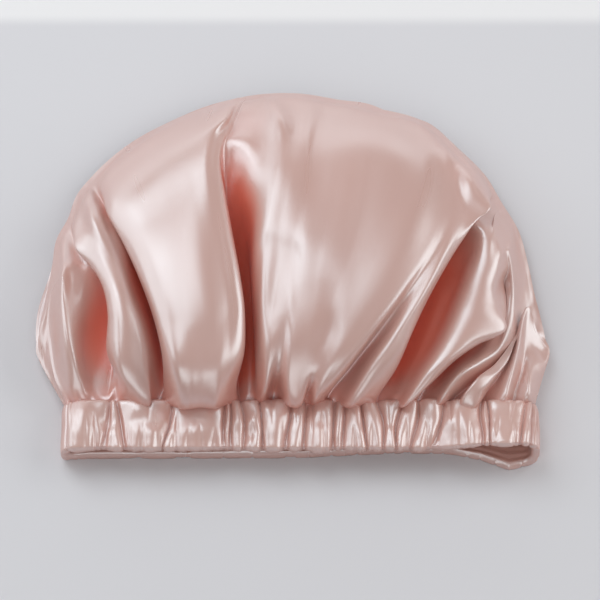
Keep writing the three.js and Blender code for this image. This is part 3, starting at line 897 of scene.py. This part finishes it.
def casing_rows():
    """The casing's rows, from its seam round the mouth edge to the inside: share of the height, stand, share of the
    ruching, and inset."""
    rows = [(1, -CROWN_INSET, 0, 0), (1.004, -0.9, 0.4, 0)]
    for share in np.linspace(1, -0.01, 36):
        seam = math.exp(-(1 - share) / 0.05)
        full = math.sin(math.pi * max(share, 0)) ** 0.5
        rows.append((share, 0.4 - 0.5 * seam, (1 - 0.15 * seam) * (0.75 + 0.25 * full), 0))
    inside = np.r_[np.linspace(0.04, 0.36, 11), np.linspace(0.44, 1, 8)]
    return rows + HEM_ROWS + [(share, 0, 0, LAYER) for share in inside]


def casing_grid(run):
    """The casing as rings round the loop at each of its rows, and how far each point stands out."""
    place, outward = loop_place(run)
    rows = casing_rows()
    out = ruching(run, np.array([min(max(row[0], 0), 1) for row in rows])) * (1 - 0.75 * outward[:, :1] ** 2)
    below = np.clip(-outward[:, 1], 0, 1)
    shut = 1 / (1 + np.exp((place[:, 0] - MOUTH_OPENS) / 9))  # 1 where the mouth lies shut, 0 at its open right end
    rings = []
    for number, (share, stand, ruched, inset) in enumerate(rows):
        near_hem = max(0, 1 - max(share, 0) / 0.4)
        thick = inset * (1 + HEM_PUFF * shut * near_hem * outward[:, 1] ** 2)
        at = place + outward * (stand + ruched * out[:, number] - thick)[:, None]
        at_hem = max(0, 1 - max(share, 0) / 0.1)
        scallop = HEM_SCALLOP * (out[:, number] - PUFF_LEAST) * at_hem * (1 - 0.85 * below)
        y = MOUTH_Y + share * BAND_HEIGHT - scallop
        rings.append(np.stack([BAND_MIDDLE + at[:, 0], y, PARTING + at[:, 1]], 1))
    return np.stack(rings, 1), out


def open_mouth(grid):
    """Lifts the front half's mouth edge at the right, and draws the back half's lip in or brings it forward."""
    x, y, z = (grid[..., axis] for axis in range(3))
    share = np.clip((y - MOUTH_Y) / BAND_HEIGHT, 0, 1)
    upper = np.clip((z - PARTING) / 3 + 0.5, 0, 1)
    t = np.clip((x - BAND_MIDDLE - MOUTH_OPENS) / MOUTH_OPENS_OVER, 0, 1)
    lift = MOUTH_LIFT * t * t * (3 - 2 * t) * upper * (1 - share)
    at, drawn = np.array(LIP_DRAWN_IN, float).T
    drawn = np.interp((x - BAND_MIDDLE).reshape(-1), at, drawn).reshape(x.shape) * (1 - upper) * (1 - share) ** 2
    folds = LIP_FOLD * (1 - upper) * np.sin(1.7 * (y - MOUTH_Y) + 0.05 * x + 1.5 * np.sin(0.04 * x))
    folds *= np.clip(z - 2, 0, 1) * (1 - share) ** 4
    return np.stack([x, y + drawn, np.maximum(z + lift + folds, LIP_CLEAR_OF_TABLE)], -1)


def make_band(satin):
    """The casing: one strip folded at the mouth edge, round the whole loop, ruched by the elastic inside it."""
    run = np.arange(BAND_COLUMNS) * loop_length() / BAND_COLUMNS
    grid, out = casing_grid(run)
    grid = open_mouth(grid)
    flat = flat_places(np.arange(BAND_COLUMNS + 1) * BAND_FULLNESS * loop_length() / BAND_COLUMNS,
                       np.arange(grid.shape[1]) * 1.2)
    piece = grid_mesh("band_casing", grid, flat, satin, closed=(True, False))
    # painted shade: darker colour in the casing's creases, on its turned-in inside and on the back half's lip
    depth = piece.data.attributes.new("painted_fold_shade", "FLOAT", "POINT")
    rows = np.array(casing_rows())
    turned_in = np.clip(rows[:, 3] / LAYER, 0, 1)
    painted_crease_shade = CREASE_SHADE * np.clip(1 - out / 2.8, 0, 1) ** 1.3
    painted_shade = np.where(turned_in > 0.4, INSIDE_SHADE * turned_in, painted_crease_shade)
    lip = LIP_SHADE * np.clip(-loop_place(run)[1][:, 1:], 0, 1) * (rows[:, 0] < 0.25)
    depth.data.foreach_set("value", np.maximum(painted_shade, lip).reshape(-1).astype(np.float32))
    return put_on(piece, "satin", "front_casing", "back_casing")


def loop_strip(name, inset, low, high, thick, ribs, ruffle, material):
    """A flat closed strip round the loop, with ribs along it, between two places in Y."""
    columns = 420
    run = np.arange(columns) * loop_length() / columns
    place, outward = loop_place(run)
    side = np.linspace(0, 1, 4 * ribs + 1)
    rib = 0.12 * np.abs(np.sin(side * np.pi * ribs))
    section = [(-thick / 2 - 0.08 + r, t) for r, t in zip(rib, side)]
    section += [(thick / 2 + 0.08 - r, t) for r, t in zip(rib[::-1], side[::-1])]
    rings = []
    for stand, t in section:
        wave = ruffle * np.sin(run * 1.9 + np.sin(run * 0.21)) * t
        at = place - outward * (inset + stand + wave)[:, None]
        y = np.full(columns, low + (high - low) * t)
        rings.append(np.stack([BAND_MIDDLE + at[:, 0], y, PARTING + at[:, 1]], 1))
    grid = open_mouth(np.stack(rings, 1))
    flat = flat_places(np.arange(columns + 1) * loop_length() / columns, np.arange(len(section) + 1) * 0.6)
    return grid_mesh(name, grid, flat, material, closed=(True, True))


def make_elastic(web):
    """The flat elastic inside the casing, 25 mm wide."""
    piece = loop_strip("band_elastic", inset=1.95, low=MOUTH_Y + 1.1, high=MOUTH_Y + 26.1, thick=1.4, ribs=9, ruffle=0,
                       material=web)
    return put_on(piece, "elastic", "front_elastic", "back_elastic")


def make_gather_seam(satin):
    """The gathered seam allowance between the crown and the casing, turned down inside the casing."""
    piece = loop_strip("gather_seam_allowance", inset=2.4, low=SEAM_Y - 3.3, high=SEAM_Y + 0.2, thick=1.0, ribs=1,
                       ruffle=0.35, material=satin)
    return put_on(piece, "satin_inside", "front_gather_seam", "back_gather_seam")


# Stitches


def stitch_tree():
    """Geometry nodes that set stitches along a path: their spacing, length, thread and material are inputs."""
    tree = bpy.data.node_groups.new("stitch_row", "GeometryNodeTree")
    face = tree.interface
    face.new_socket("Path", in_out="INPUT", socket_type="NodeSocketGeometry")
    for name in ("Spacing", "Length", "Thread"):
        face.new_socket(name, in_out="INPUT", socket_type="NodeSocketFloat")
    face.new_socket("Material", in_out="INPUT", socket_type="NodeSocketMaterial")
    face.new_socket("Stitches", in_out="OUTPUT", socket_type="NodeSocketGeometry")
    nodes, links = tree.nodes, tree.links
    given, made = nodes.new("NodeGroupInput"), nodes.new("NodeGroupOutput")
    curve = nodes.new("GeometryNodeMeshToCurve")
    spaced = nodes.new("GeometryNodeResampleCurve")
    spaced.mode = "LENGTH"
    tangent = nodes.new("GeometryNodeInputTangent")
    aligned = nodes.new("FunctionNodeAlignRotationToVector")
    aligned.axis = "Z"
    bead = nodes.new("GeometryNodeMeshUVSphere")
    bead.inputs["Segments"].default_value = 6
    bead.inputs["Rings"].default_value = 5
    bead.inputs["Radius"].default_value = 0.5
    size = nodes.new("ShaderNodeCombineXYZ")
    placed = nodes.new("GeometryNodeInstanceOnPoints")
    real = nodes.new("GeometryNodeRealizeInstances")
    dressed = nodes.new("GeometryNodeSetMaterial")
    links.new(given.outputs["Path"], curve.inputs["Mesh"])
    links.new(curve.outputs["Curve"], spaced.inputs["Curve"])
    links.new(given.outputs["Spacing"], spaced.inputs["Length"])
    links.new(tangent.outputs["Tangent"], aligned.inputs["Vector"])
    links.new(given.outputs["Thread"], size.inputs["X"])
    links.new(given.outputs["Thread"], size.inputs["Y"])
    links.new(given.outputs["Length"], size.inputs["Z"])
    links.new(spaced.outputs["Curve"], placed.inputs["Points"])
    links.new(bead.outputs["Mesh"], placed.inputs["Instance"])
    links.new(aligned.outputs["Rotation"], placed.inputs["Rotation"])
    links.new(size.outputs["Vector"], placed.inputs["Scale"])
    links.new(placed.outputs["Instances"], real.inputs["Geometry"])
    links.new(real.outputs["Geometry"], dressed.inputs["Geometry"])
    links.new(given.outputs["Material"], dressed.inputs["Material"])
    links.new(dressed.outputs["Geometry"], made.inputs["Stitches"])
    return tree


def make_stitches(name, tree, path, closed, material):
    """A row of stitches along a path in millimetres, as one plain mesh."""
    count = len(path)
    edges = [(i, (i + 1) % count) for i in range(count if closed else count - 1)]
    mesh = bpy.data.meshes.new(name)
    mesh.from_pydata((path * MM).tolist(), edges, [])
    piece = bpy.data.objects.new(name, mesh)
    bpy.context.scene.collection.objects.link(piece)
    row = piece.modifiers.new("row", "NODES")
    row.node_group = tree
    sizes = {"Spacing": STITCH_SPACING * MM, "Length": STITCH_LENGTH * MM, "Thread": THREAD_THICKNESS * MM,
             "Material": material}
    for item in tree.interface.items_tree:
        if item.in_out == "INPUT" and item.name in sizes:
            row[item.identifier] = sizes[item.name]
    graph = bpy.context.evaluated_depsgraph_get()
    made = bpy.data.meshes.new_from_object(piece.evaluated_get(graph), depsgraph=graph)
    piece.modifiers.clear()
    piece.data = made
    bpy.data.meshes.remove(mesh)
    made.name = name
    made.shade_smooth()
    return piece


def make_seam_stitches(tree, thread):
    """The stitches that hold the gathered crown to the casing."""
    run = np.arange(900) * loop_length() / 900
    place, outward = loop_place(run)
    at = place - outward * 0.9
    path = np.stack([BAND_MIDDLE + at[:, 0], np.full(len(run), SEAM_Y + 0.2), PARTING + at[:, 1]], 1)
    return put_on(make_stitches("seam_stitches", tree, path, True, thread), "satin")


def make_arch_stitches(tree, thread):
    """The stitches of the arch seam, through its allowance."""
    x, y, inward = along_arch(9, 600)
    path = np.stack([x + inward[:, 0] * 3, y + inward[:, 1] * 3, np.full_like(x, PARTING)], 1)
    return put_on(make_stitches("arch_stitches", tree, path, False, thread), "satin_inside")


make_camera()
make_light()
make_table()
weave = satin_weave()
# Each satin's second colour is its painted shade colour. The band's copy is a little lighter than the crown's, painted
# light, and the inside copy is darker, painted shade.
satin = make_satin("blush_satin", weave, (0.71, 0.41, 0.347), (0.86, 0.22, 0.14), True)
band_satin = make_satin("blush_satin_band", weave, (0.745, 0.435, 0.367), (0.56, 0.15, 0.09), True)
satin_inside = make_satin("blush_satin_inside_painted_shade", weave, (0.6, 0.3, 0.25), (0.5, 0.15, 0.1), False)
thread = make_thread()
make_crown_front(satin)
make_crown_back(satin)
make_arch_seam(satin_inside)
make_band(band_satin)
make_elastic(make_elastic_web())
make_gather_seam(satin_inside)
stitches = stitch_tree()
make_seam_stitches(stitches, thread)
make_arch_stitches(stitches, thread)

bpy.context.scene.view_settings.view_transform = "Standard"
